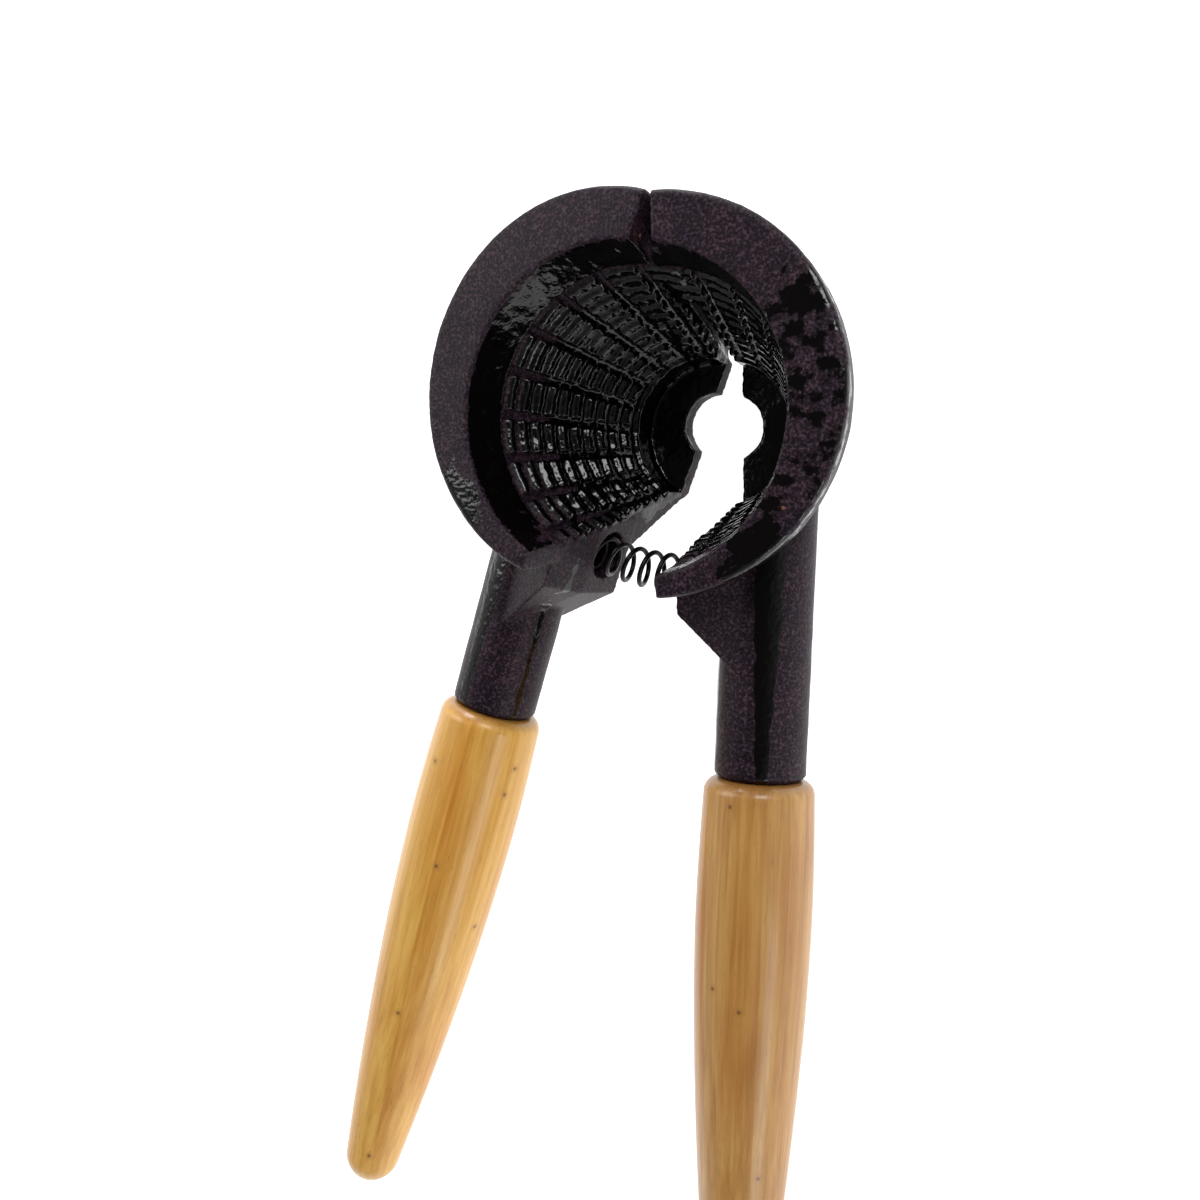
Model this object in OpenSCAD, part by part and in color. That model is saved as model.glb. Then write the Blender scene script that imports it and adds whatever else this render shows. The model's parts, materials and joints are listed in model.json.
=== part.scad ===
// Cone nutcracker: two half-cone jaws on a slanted pin, an opening spring and two turned handles.
// Millimetres. +X across the jaws, +Y towards the hinge, +Z up. The nutcracker lies half open, mouth
// up, on the edge of its small end and on the tips of its handles. The origin is on that surface,
// below the middle of the whole object.
// Each half is drawn closed, for the side x > 0, with the mouth in the plane z = 0 and the middle of
// the mouth at the origin. at_rest() then opens the halves, tilts them and sets them down.

/* [Cone] */
// Outer diameter of the mouth
mouth_od = 65; // [60:1:80]
// Inner diameter of the mouth
mouth_id = 54.2; // [48:0.2:58]
// Height from the small end to the mouth
cone_h = 50; // [42:1:60]
// Outer diameter of the small end
small_od = 35; // [31:1:40]
// Inner diameter just above the end wall
throat_id = 26.8; // [22:0.2:28]
// Thickness of the end wall
end_wall = 3.2; // [2.4:0.1:5]
// Diameter of the hole in the end wall
hole_d = 12; // [8:0.5:14]
// Depth of the upright rim before the outside tapers
rim_h = 6; // [4:0.5:10]
// How much the rim narrows in radius over its height
rim_taper = 0.5; // [0:0.1:1]
// Width of the bevel round the edge of the mouth
rim_bevel = 1; // [0.5:0.1:2]
// Width of the bevel round the small end
small_bevel = 1.2; // [0.5:0.1:2]

/* [Cavity] */
// How far the middle of each half mouth lies beyond its own parting face
mouth_shift_x = 3.9; // [2:0.1:6]
// How far the middle of each half mouth lies towards the handles
mouth_shift_y = 2.3; // [0:0.1:3]
// How far the middle of the throat lies beyond the parting face
throat_shift_x = 1; // [0:0.1:2]
// How far the middle of the throat lies towards the handles
throat_shift_y = 1.6; // [0:0.1:3]
// Depth of the smooth flare at the mouth
flare_h = 9; // [6:0.5:12]
// How much the flare narrows in radius
flare_in = 2; // [1:0.1:3]
// Height of the smooth collar above the end wall
collar_h = 5; // [3:0.5:8]
// Number of ridges round the inside
ridge_n = 11; // [6:1:14]
// Height of a ridge
ridge_h = 0.9; // [0.4:0.1:1.2]
// Angle between the grooves that cross the ridges
groove_step = 18; // [12:1:30]
// Width of a groove
groove_w = 1.5; // [1:0.1:2.5]

/* [Parting and hinge] */
// Gap from the middle plane to the parting face of each half, closed
parting_gap = 0.9; // [0.6:0.1:1.5]
// Gap from the middle plane to the pad of each web, closed
pad_gap = 0.15; // [0.1:0.05:0.4]
// Opening angle between the halves at rest
rest_open = 22.6; // [14:0.2:28]
// Distance from the middle of the mouth to the hinge axis
hinge_y = 30.2; // [29.6:0.1:32]
// Slant of the hinge axis, which follows the outside of the cone
hinge_slant = 19; // [14:0.5:21]
// Radius of the hinge lugs
lug_r = 4.5; // [4:0.1:5]
// Length of each hinge lug
lug_l = 6.5; // [5:0.5:8]
// Depth of the first lug below the mouth, along the axis
lug_top = 6; // [5:0.5:8]
// Clearance between the lugs
lug_clear = 0.25; // [0.15:0.05:0.5]
// Diameter of the hinge pin
pin_d = 3.6; // [3:0.1:4.4]
// Radial clearance of the pin in the lug that turns on it
pin_clear = 0.05; // [0.02:0.01:0.1]
// Diameter of the pin's head
pin_head_d = 4.8; // [4.8:0.1:7]
// Height of the pin's head
pin_head_h = 1.4; // [1:0.1:2]

/* [Stub and web] */
// Diameter of the round iron stub of each handle
stub_d = 15.8; // [12:0.2:18]
// Distance of the stub's axis from the middle plane, beside the mouth
stub_x = 14.9; // [12:0.1:18]
// Depth of the stub's axis below the mouth
stub_depth = 22; // [18:0.5:28]
// Lean of each stub towards the other when closed
stub_lean = 3.2; // [0:0.1:3.4]
// Distance from the middle of the mouth to the stub's end
stub_end = 64; // [58:1:75]
// Bevel round the stub's end
stub_bevel = 0.9; // [0.4:0.1:1.5]
// Thickness of the web where it meets the stub
web_t = 13; // [11:0.2:14]
// Thickness of the web's pad, by the middle plane
pad_t = 12; // [11:0.2:13]
// Depth of the pad's middle below the mouth
pad_depth = 26.4; // [25:0.1:28]
// Depth below the mouth where the web begins, in front of its pad
web_front = 9; // [8:0.5:14]
// How far the web in front of the pad is set back from the middle plane
web_setback = 1.2; // [0.6:0.1:2]
// How far the flange between pad and small end stands out from the cone
flange_w = 3.3; // [1:0.1:4]
// Lowest point of the web's pad, below the middle of the mouth
pad_end = 36.3; // [34:0.1:38]
// Where the web's slanted edge meets the stub's axis
web_end = 47.5; // [44:0.5:53]

/* [Spring] */
// Outer diameter of the spring
spring_od = 7.2; // [5:0.1:8]
// Diameter of the spring's wire
wire_d = 0.9; // [0.5:0.05:1]
// Number of turns
spring_turns = 9; // [7:1:14]
// Diameter of the round seat in each web
seat_d = 8.8; // [7.5:0.1:10]
// Depth of each seat
seat_h = 6; // [3:0.5:7]
// Distance of the seats below the middle of the mouth
seat_y = 29; // [28:0.1:30]
// Depth of the seats below the mouth
seat_depth = 25.8; // [25:0.1:27]

/* [Handles] */
// Length of a wooden handle
grip_l = 100.8; // [80:0.2:125]
// Largest diameter of a handle
grip_d = 20.2; // [17:0.2:22]
// Diameter at the shoulder, next to the stub
shoulder_d = 18.8; // [16:0.2:20]
// Diameter near the tip
tip_d = 9.5; // [8:0.1:12]
// Rounding of the shoulder
shoulder_round = 2.4; // [1:0.1:4]
// Length of the rounded tip
tip_round = 5; // [3:0.5:8]
// Where the handle is thickest, as a share of its length
belly_at = 0.24; // [0.2:0.01:0.4]
// Diameter of the steel stud that holds a handle
stud_d = 5; // [4:0.5:6]
// Length of the stud inside the iron stub
stud_in_stub = 14; // [10:1:20]
// Length of the stud inside the wood
stud_in_wood = 30; // [20:1:40]
// Gap round the stud and past its ends
stud_clear = 0.05; // [0.02:0.01:0.1]

/* [Hidden] */
$fn = 96;
far = 100;                                   // reach of a cutting box
extra_open = 6;                              // the halves can be pulled this much wider than at rest
relief_clear = 0.1;                          // gap left between them beyond the hinge axis
iron = "#3a3438";
black_steel = "#1c1a1c";
bright_steel = "#a8a8a4";
wood = "#d9ab5c";

mouth_r = mouth_od / 2;
small_r = small_od / 2;
flare_z = -flare_h;
floor_z = -(cone_h - end_wall);              // inner face of the end wall
collar_z = floor_z + collar_h;
flare_r = mouth_id / 2 - flare_in;
throat_r = throat_id / 2;
ridge_pitch = (flare_z - collar_z) / ridge_n;
cavity_tilt_x = atan((mouth_shift_y - throat_shift_y) / cone_h);
cavity_tilt_y = atan((mouth_shift_x - throat_shift_x) / cone_h);
pin_top = lug_top - 0.5;
pin_end = lug_top + 3 * lug_l + 2 * lug_clear;
seat_z = -seat_depth;
flange_z = -pad_depth - pad_t / 2;           // back of the pad
slice = 0.01;                                // thickness of the slabs that a hull joins
pad_top = seat_y - seat_d / 2 - 3;

// Radius of the ridges' crests at height z
function crest_r(z) = flare_r + (throat_r - flare_r) * (flare_z - z) / (flare_z - collar_z);

// Radius of a wooden handle at distance s from the stub
belly_s = belly_at * grip_l;
tip_s = grip_l - tip_round;
function barrel_r(s) = s < belly_s
    ? (grip_d - (grip_d - shoulder_d) * pow((belly_s - s) / belly_s, 2)) / 2
    : (grip_d - (grip_d - tip_d) * pow((s - belly_s) / (grip_l - belly_s), 1.65)) / 2;
function grip_r(s) = s < shoulder_round
    ? barrel_r(s) - shoulder_round * (1 - sqrt(1 - pow(1 - s / shoulder_round, 2)))
    : s > tip_s ? barrel_r(s) * sqrt(max(0, 1 - pow((s - tip_s) / tip_round, 2))) : barrel_r(s);

// A point of the closed half after it opens by angle a about the hinge axis
hinge_p = [0, hinge_y, 0];
hinge_u = [0, sin(hinge_slant), cos(hinge_slant)];
function opened(p, a) = let (q = p - hinge_p)
    hinge_p + q * cos(a) + cross(hinge_u, q) * sin(a) + hinge_u * (hinge_u * q) * (1 - cos(a));
// Its y and its height after the object tilts by angle t about the X axis
function tilted_y(p, t) = p[1] * cos(t) - p[2] * sin(t);
function tilted_z(p, t) = p[1] * sin(t) + p[2] * cos(t);
// A point on the axis of the handle, s beyond the end of the stub
function grip_point(s) = [stub_x - (stub_end + s) * sin(stub_lean), -(stub_end + s) * cos(stub_lean),
                          -stub_depth];
// The lowest heights of the small end's edge and of the handle at tilt t
foot_r = small_r - small_bevel;
small_edge = [for (a = [-90:3:0]) opened([foot_r * cos(a), foot_r * sin(a), -cone_h], rest_open / 2)];
grip_line = [for (s = [0.6 * grip_l:0.5:grip_l]) [opened(grip_point(s), rest_open / 2), grip_r(s)]];
function low_small_end(t) = min([for (p = small_edge) tilted_z(p, t)]);
function low_grip(t) = min([for (g = grip_line) tilted_z(g[0], t) - g[1] * cos(t)]);
// The tilt at which both are equally low, by halving the interval n times
function level_tilt(low, high, n) = let (mid = (low + high) / 2)
    n == 0 ? mid
    : low_grip(mid) > low_small_end(mid) ? level_tilt(mid, high, n - 1) : level_tilt(low, mid, n - 1);
rest_tilt = level_tilt(0, 30, 24);
floor_level = low_small_end(rest_tilt);
grip_ends = [grip_line[0][0], grip_line[len(grip_line) - 1][0]];
grip_slope_y = (tilted_y(grip_ends[0], rest_tilt) - tilted_y(grip_ends[1], rest_tilt))
    / norm(grip_ends[0] - grip_ends[1]);
front_y = min([for (g = grip_line) tilted_y(g[0], rest_tilt) - g[1] * sqrt(1 - pow(grip_slope_y, 2))]);
lug_edge = hinge_p + lug_r * [0, cos(hinge_slant), -sin(hinge_slant)] - hinge_u * lug_top;
rim_bottom_r = mouth_r - rim_taper;
mouth_edge = [for (a = [60:3:90]) opened([rim_bottom_r * cos(a), rim_bottom_r * sin(a), -rim_h],
                                         rest_open / 2)];
back_y = max([for (p = concat([lug_edge], mouth_edge)) tilted_y(p, rest_tilt)]);
middle_y = (front_y + back_y) / 2;

// Set the open object down on its resting surface
module set_down() {
    translate([0, -middle_y, -floor_level]) rotate([rest_tilt, 0, 0]) children();
}

// The hinge's own frame: its z axis runs up along the pin
module along_hinge() {
    translate(hinge_p) rotate([-hinge_slant, 0, 0]) children();
}

// Turn a closed half about the hinge: side 1 is the right half, side -1 the left
module at_rest(side) {
    set_down() along_hinge() rotate([0, 0, side * rest_open / 2]) rotate([hinge_slant, 0, 0])
        translate(-hinge_p) mirror([side < 0 ? 1 : 0, 0, 0]) children();
}

// Outside of the cone: a bevelled rim, an almost straight taper and a blunt small end
module cone_outside() {
    rotate_extrude()
        polygon([[0, 0], [mouth_r - rim_bevel, 0], [mouth_r - rim_bevel * 0.3, -rim_bevel * 0.3],
                 [mouth_r, -rim_bevel], [rim_bottom_r, -rim_h], [small_r, -(cone_h - 2 * small_bevel)],
                 [small_r - small_bevel, -cone_h], [0, -cone_h]]);
}

// Puts its children on the axis of the cavity, which leans because mouth and throat are shifted
module on_cavity_axis() {
    translate([-mouth_shift_x, -mouth_shift_y, 0]) rotate([-cavity_tilt_x, -cavity_tilt_y, 0])
        children();
}

// One ridge and the valley below it, as radius and height
function ridge_points(k) = let (z = flare_z - k * ridge_pitch)
    [[crest_r(z), z], [crest_r(z - 0.4 * ridge_pitch), z - 0.4 * ridge_pitch],
     [crest_r(z - 0.55 * ridge_pitch) + ridge_h, z - 0.55 * ridge_pitch],
     [crest_r(z - 0.85 * ridge_pitch) + ridge_h, z - 0.85 * ridge_pitch]];

// Space inside the cone: flare, ridges, collar and floor
module cavity() {
    on_cavity_axis() rotate_extrude()
        polygon(concat([[0, 5], [mouth_id / 2 + 5 * flare_in / flare_h, 5]],
                       [for (k = [0:ridge_n - 1]) each ridge_points(k)],
                       [[throat_r, collar_z], [throat_r - 0.3, floor_z], [0, floor_z]]));
}

// Grooves that cross the ridges, as deep as the valleys
module grooves() {
    on_cavity_axis() intersection() {
        rotate_extrude()
            polygon([[0, flare_z], [crest_r(flare_z) + ridge_h, flare_z - 0.6 * ridge_pitch],
                     [crest_r(collar_z) + ridge_h, collar_z], [0, collar_z]]);
        union()
            for (a = [-72:groove_step:72])
                rotate([0, 0, a]) translate([0, -groove_w / 2, -cone_h]) cube([far, groove_w, cone_h]);
    }
}

// Web between cone and stub, whose pad meets the other half when closed
module web() {
    hull() {
        translate([pad_gap, -pad_end, flange_z]) cube([slice, pad_end - pad_top, pad_t]);
        translate([web_setback, 1 - pad_end, flange_z])
            cube([slice, pad_end - pad_top - 1, -web_front - flange_z]);
        translate([0, 0, -stub_depth]) linear_extrude(web_t, center = true)
            polygon([[stub_x - web_end * sin(stub_lean), -web_end - 1],
                     [stub_x - web_end * sin(stub_lean) - slice, -web_end - 1],
                     [stub_x - slice, -pad_top], [stub_x, -pad_top]]);
    }
}

// Flange that widens the parting face from the pad to the small end, running out into the cone
flange_r = small_r + flange_w + (rim_bottom_r - small_r) * (cone_h + flange_z) / (cone_h - rim_h);
module flange() {
    hull() {
        translate([-1, 0, 0]) rotate([90, 0, 90]) linear_extrude(1 + 2.5)
            polygon([[-flange_r + 6, flange_z + 6], [-flange_r - 2, flange_z + 6],
                     [-flange_r - 2, flange_z], [-flange_r, flange_z - 1.6],
                     [-small_r + 0.05, -(cone_h - 2 * small_bevel)],
                     [-small_r + 3, -(cone_h - 2 * small_bevel)]]);
        translate([9, 0, 0]) rotate([90, 0, 90]) linear_extrude(slice)
            polygon([[-small_r, flange_z + 4], [-small_r - 1, flange_z],
                     [-small_r + 4, -(cone_h - 2 * small_bevel)]]);
    }
}

// Places its children on the stub's axis, z pointing to the handle's tip
module on_stub_axis() {
    translate([stub_x, 0, -stub_depth]) rotate([90, 0, -stub_lean]) children();
}

// Round stub from the side of the cone to the wood
module stub() {
    on_stub_axis() translate([0, 0, 14]) rotate_extrude()
        polygon([[0, 0], [stub_d / 2, 0], [stub_d / 2, stub_end - 14 - stub_bevel],
                 [stub_d / 2 - stub_bevel, stub_end - 14], [0, stub_end - 14]]);
}

// Hole for the stud, from depth d1 to depth d2 along the stub's axis
module stud_hole(d1, d2) {
    on_stub_axis() translate([0, 0, d1]) cylinder(h = d2 - d1, r = stud_d / 2 + stud_clear);
}

// Seat of the spring in the pad
module spring_seat() {
    translate([pad_gap - 1, -seat_y, seat_z]) rotate([0, 90, 0]) cylinder(h = seat_h + 1, d = seat_d);
}

// Depth along the hinge where lug number k begins, from the mouth
function lug_start(k) = lug_top + k * (lug_l + lug_clear);

// Relief beyond the hinge axis, so that the parting faces don't meet there when the halves open
module parting_relief() {
    turn = (rest_open + extra_open) / 2;
    along_hinge() translate([0, 0, -far]) linear_extrude(2 * far)
        polygon([[relief_clear, 0], [relief_clear + far * tan(turn), far], [-far, far], [-far, 0]]);
}

// Lug number k: a disc round the pin
module lug(k) {
    along_hinge() translate([0, 0, -lug_start(k) - lug_l]) cylinder(h = lug_l, r = lug_r);
}

// Slot that lug number k of the other half turns in, open to the outside
module lug_slot(k) {
    slot_r = lug_r + lug_clear;
    along_hinge() translate([0, 0, -lug_start(k) - lug_l - lug_clear]) {
        cylinder(h = lug_l + 2 * lug_clear, r = slot_r);
        translate([-slot_r, 0, 0]) cube([2 * slot_r, far / 4, lug_l + 2 * lug_clear]);
    }
}

// Bore through the lugs, and the channel below them that the pin is driven in by
module pin_bore(r) {
    along_hinge() {
        translate([0, 0, -pin_end - 1]) cylinder(h = pin_end + 1 - pin_top + stud_clear, r = r);
        translate([0, 0, -1.3 * cone_h]) cylinder(h = 1.3 * cone_h - pin_end, d = pin_head_d + 0.6);
    }
}

// One casting, drawn for the side x > 0, with its own lugs and the slots for the other's
module casting(own, others, bore_r) {
    difference() {
        union() {
            difference() {
                union() {
                    cone_outside();
                    flange();
                }
                translate([parting_gap - far, -far, -far]) cube([far, 2 * far, 2 * far]);
                parting_relief();
            }
            web();
            stub();
            for (k = own) lug(k);
        }
        cavity();
        grooves();
        for (k = others) lug_slot(k);
        pin_bore(bore_r);
        spring_seat();
        stud_hole(stub_end - stud_in_stub - stud_clear, stub_end + 1);
        translate([-throat_shift_x, -throat_shift_y, -cone_h - 1]) cylinder(h = cone_h, d = hole_d);
    }
}

module right_jaw() {
    color(iron) at_rest(1) casting([0, 2], [1], pin_d / 2);
}

module left_jaw() {
    color(iron) at_rest(-1) casting([1], [0, 2], pin_d / 2 + pin_clear);
}

// Pin with a low round head below the last lug
module hinge_pin() {
    color(black_steel) set_down() along_hinge() translate([0, 0, -pin_end]) {
        cylinder(h = pin_end - pin_top, d = pin_d);
        rotate_extrude()
            polygon([[0, 0], [pin_head_d / 2, 0], [pin_head_d / 2, -0.4 * pin_head_h],
                     [pin_head_d / 2 - 0.8, -pin_head_h], [0, -pin_head_h]]);
    }
}

// Spring: a helix whose middle line is an arc about the hinge axis, from seat to seat
spring_mid = [0, -seat_y, seat_z];
spring_foot = hinge_p + hinge_u * (hinge_u * (spring_mid - hinge_p));  // nearest point on the axis
spring_arm = spring_mid - spring_foot;
arm_l = norm(spring_arm);
coil_r = (spring_od - wire_d) / 2;
// Half the arc, so that the outermost points of the first and last turn just clear the seats' floors
seat_floor_angle = asin((pad_gap + seat_h - wire_d / 2) / (arm_l + coil_r));
spring_half_angle = rest_open / 2 + seat_floor_angle - 0.1;
spring_sides = 8;
steps_per_turn = 14;
function coil_point(u, r, w) = let (
    a = spring_half_angle * (2 * u - 1),
    turn = 360 * spring_turns * u,
    arm = spring_arm / arm_l,
    across = cross(hinge_u, arm),
    out = arm * cos(a) + across * sin(a),
    radial = out * cos(turn) + hinge_u * sin(turn),
    along = -arm * sin(a) + across * cos(a))
    spring_foot + out * arm_l + radial * (coil_r + r * cos(w)) + along * r * sin(w);

module opening_spring() {
    n = spring_turns * steps_per_turn;
    points = [for (i = [0:n]) for (j = [0:spring_sides - 1])
              coil_point(i / n, wire_d / 2, 360 * j / spring_sides)];
    walls = [for (i = [0:n - 1]) for (j = [0:spring_sides - 1])
             let (a = i * spring_sides + j, b = i * spring_sides + (j + 1) % spring_sides)
             [a, a + spring_sides, b + spring_sides, b]];
    first = [for (j = [0:spring_sides - 1]) j];
    last = [for (j = [spring_sides - 1:-1:0]) n * spring_sides + j];
    color(black_steel) set_down() polyhedron(points, concat(walls, [first, last]));
}

// Turned handle with a hole for its stud
module grip() {
    steps = 30;
    on_stub_axis() translate([0, 0, stub_end]) difference() {
        rotate_extrude()
            polygon(concat([[0, 0]],
                           [for (k = [0:5]) let (s = shoulder_round * (1 - cos(18 * k))) [grip_r(s), s]],
                           [for (k = [1:steps]) let (s = shoulder_round
                                + (tip_s - shoulder_round) * k / steps) [grip_r(s), s]],
                           [for (k = [1:6]) let (s = tip_s + tip_round * sin(15 * k)) [grip_r(s), s]]));
        translate([0, 0, -1]) cylinder(h = stud_in_wood + stud_clear + 1, r = stud_d / 2 + stud_clear);
    }
}

module stud() {
    on_stub_axis() translate([0, 0, stub_end - stud_in_stub])
        cylinder(h = stud_in_stub + stud_in_wood, d = stud_d);
}

module left_handle() {
    color(wood) at_rest(-1) grip();
}

module right_handle() {
    color(wood) at_rest(1) grip();
}

module left_handle_stud() {
    color(bright_steel) at_rest(-1) stud();
}

module right_handle_stud() {
    color(bright_steel) at_rest(1) stud();
}

left_jaw();
right_jaw();
hinge_pin();
opening_spring();
left_handle();
right_handle();
left_handle_stud();
right_handle_stud();
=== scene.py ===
import json
from math import radians

import bpy
import bmesh
import numpy as np
from mathutils import Matrix


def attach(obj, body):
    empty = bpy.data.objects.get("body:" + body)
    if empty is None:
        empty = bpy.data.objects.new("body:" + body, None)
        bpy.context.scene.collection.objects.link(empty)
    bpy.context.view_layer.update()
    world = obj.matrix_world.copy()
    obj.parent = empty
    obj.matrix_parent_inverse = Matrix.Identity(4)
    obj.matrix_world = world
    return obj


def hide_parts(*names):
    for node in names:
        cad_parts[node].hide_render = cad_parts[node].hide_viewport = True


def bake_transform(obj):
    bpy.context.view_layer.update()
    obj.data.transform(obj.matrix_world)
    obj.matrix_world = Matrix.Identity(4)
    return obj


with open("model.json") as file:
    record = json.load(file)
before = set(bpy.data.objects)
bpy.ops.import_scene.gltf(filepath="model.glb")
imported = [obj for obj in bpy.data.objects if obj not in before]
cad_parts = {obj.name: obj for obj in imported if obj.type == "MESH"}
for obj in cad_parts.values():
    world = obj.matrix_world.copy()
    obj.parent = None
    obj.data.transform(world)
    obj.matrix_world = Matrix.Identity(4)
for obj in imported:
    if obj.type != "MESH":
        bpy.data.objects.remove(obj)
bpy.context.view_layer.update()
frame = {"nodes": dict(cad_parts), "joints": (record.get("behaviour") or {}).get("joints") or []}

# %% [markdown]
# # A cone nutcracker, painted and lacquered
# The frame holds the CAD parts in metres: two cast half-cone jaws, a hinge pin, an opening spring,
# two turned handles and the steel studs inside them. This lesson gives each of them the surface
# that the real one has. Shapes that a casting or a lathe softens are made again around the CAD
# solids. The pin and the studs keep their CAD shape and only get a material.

nodes = frame["nodes"]
MM = 0.001
print("CAD nodes:", ", ".join(sorted(nodes)))

# %% [markdown]
# ## Where each half is
# Both halves are the same casting, once as it is and once mirrored, turned about the hinge. Every
# new piece is worked out for the closed right half, with the mouth of the cone in the plane z = 0
# and the middle of the mouth at the origin, and then set in its place. The joint in the record
# gives the hinge, so the two places can't drift apart. A left piece could also be made with a
# Mirror modifier, but that would turn its faces inside out and tie it to the other one.

# %% Placing the halves
hinge = frame["joints"][0]
HINGE_POINT = np.array(hinge["pos_m"])
HINGE_AXIS = np.array(hinge["axis"])
HINGE_Y = 30.2                 # mm from the middle of the mouth to the hinge axis
HINGE_SLANT = radians(19)      # the axis follows the outside of the cone
HALF_OPEN = radians(11.3)      # each half is turned by this much at rest
REST_TILT = HINGE_SLANT - np.arctan2(HINGE_AXIS[1], HINGE_AXIS[2])


def turn_matrix(axis, angle):
    """Rotation by angle about a unit axis: cos I + sin [axis]x + (1 - cos) axis axis^T."""
    x, y, z = axis
    cross = np.array([[0, -z, y], [z, 0, -x], [-y, x, 0]])
    return (np.cos(angle) * np.eye(3) + np.sin(angle) * cross
            + (1 - np.cos(angle)) * np.outer(axis, axis))


def half_turn(side):
    """Tilt about X, then the half's own turn about the hinge axis."""
    tilt = turn_matrix(np.array([1.0, 0, 0]), REST_TILT)
    return turn_matrix(HINGE_AXIS, side * HALF_OPEN) @ tilt


def set_in_place(points, side):
    """Closed right half, mm -> the frame, metres. side is 1 for the right half, -1 for the left."""
    from_hinge = points * [side, 1, 1] - [0, HINGE_Y, 0]
    return HINGE_POINT + MM * from_hinge @ half_turn(side).T


def back_to_half(places, side):
    """The frame, metres -> closed right half, mm."""
    from_hinge = (places - HINGE_POINT) / MM @ half_turn(side)
    return (from_hinge + [0, HINGE_Y, 0]) * [side, 1, 1]


print("the object lies tilted by", round(float(np.degrees(REST_TILT)), 2), "degrees")

# %% [markdown]
# ## Tools for meshes
# A mesh is a list of points and a list of faces. A surface that is a function of two parameters
# gives a grid of points, and each cell of the grid is a face, so no loop over points is needed.
# Lumps are value noise: random numbers on a lattice, eased between neighbours. They stand for the
# unevenness that sand, paint and a lathe leave behind.

# %% Mesh tools
def new_piece(name, points, faces):
    """A smooth mesh object at the origin, with its place in its points."""
    mesh = bpy.data.meshes.new(name)
    mesh.from_pydata(points.tolist(), [], faces.tolist())
    mesh.shade_smooth()
    piece = bpy.data.objects.new(name, mesh)
    bpy.context.scene.collection.objects.link(piece)
    return piece


def tube_faces(rows, sides):
    """Quads of a grid that closes on itself across its rows: (i, j), (i, j+1), (i+1, j+1), (i+1, j)."""
    i, j = np.meshgrid(np.arange(rows - 1), np.arange(sides), indexing="ij")
    k = (j + 1) % sides
    return np.stack([i * sides + j, i * sides + k, (i + 1) * sides + k, (i + 1) * sides + j],
                    axis=-1).reshape(-1, 4)


def close_ends(piece, rows, sides):
    """Fills the first and the last row of a tube, and turns all faces outwards."""
    shape = bmesh.new()
    shape.from_mesh(piece.data)
    shape.verts.ensure_lookup_table()
    for first in (0, (rows - 1) * sides):
        shape.faces.new([shape.verts[first + j] for j in range(sides)])
    bmesh.ops.recalc_face_normals(shape, faces=shape.faces)
    shape.to_mesh(piece.data)
    shape.free()
    piece.data.shade_smooth()


def points_of(mesh):
    co = np.empty(len(mesh.vertices) * 3, np.float32)
    mesh.vertices.foreach_get("co", co)
    return co.reshape(-1, 3).astype(float)


def paint_points(mesh, name, values):
    """Stores one number or one vector for each point, for the materials to read."""
    kind, field = ("FLOAT_VECTOR", "vector") if values.ndim == 2 else ("FLOAT", "value")
    layer = mesh.attributes.new(name, kind, "POINT")
    layer.data.foreach_set(field, values.astype(np.float32).ravel())


def ease(x, low, high):
    """0 below low, 1 above high, and 3 t^2 - 2 t^3 between them."""
    t = np.clip((x - low) / (high - low), 0, 1)
    return t * t * (3 - 2 * t)


LATTICE = 64                   # random numbers along each side of the lattice, which then repeats
lattice = np.random.default_rng(7).uniform(-1, 1, (LATTICE, LATTICE, LATTICE))


def lumps(points, size):
    """Value noise from -1 to 1 with lumps of that size, both in mm."""
    cell = np.floor(points / size).astype(int)
    t = ease(points / size - cell, 0, 1)
    total = 0.0
    for corner in np.ndindex(2, 2, 2):
        weight = np.prod(np.where(np.array(corner) == 1, t, 1 - t), axis=1)
        at = (cell + corner) % LATTICE
        total = total + weight * lattice[at[:, 0], at[:, 1], at[:, 2]]
    return total


def push_out(mesh, height):
    """Moves every point along its normal by its own height in mm."""
    normals = np.empty(len(mesh.vertices) * 3, np.float32)
    mesh.vertices.foreach_get("normal", normals)
    points = points_of(mesh) + MM * height[:, None] * normals.reshape(-1, 3)
    mesh.vertices.foreach_set("co", points.astype(np.float32).ravel())
    mesh.shade_smooth()


print("mesh tools ready")

# %% [markdown]
# ## Tools for materials
# Colours are written as sRGB hex, which is how a paint chart gives them, and one function turns
# them to linear light. One helper adds any node with its settings and links. Each pattern's scale
# is the inverse of a real size, so a noise for 1 mm grains has scale 1000 in a file in metres.

# %% Material tools
def linear(hex_colour):
    """sRGB hex to linear RGBA: c/12.92 below 0.04045, else ((c + 0.055)/1.055)^2.4."""
    c = np.array([int(hex_colour[i:i + 2], 16) for i in (1, 3, 5)]) / 255
    c = np.where(c <= 0.04045, c / 12.92, ((c + 0.055) / 1.055) ** 2.4)
    return (*c.tolist(), 1.0)


def per_mm(size):
    """Texture scale for a feature of that size in mm."""
    return 1 / (size * MM)


def add(tree, kind, links=None, ramp=None, **settings):
    """Adds a node. links = {input: socket or value}, ramp = [(position, hex)], the rest are settings."""
    made = tree.nodes.new(kind)
    for key, value in settings.items():
        setattr(made, key, value)
    for key, value in (links or {}).items():
        if isinstance(value, bpy.types.NodeSocket):
            tree.links.new(value, made.inputs[key])
        else:
            made.inputs[key].default_value = value
    if ramp:
        stops = made.color_ramp.elements
        while len(stops) < len(ramp):
            stops.new(0.5)
        for stop, (position, colour) in zip(stops, ramp):
            stop.position, stop.color = position, linear(colour)
    return made


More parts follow.
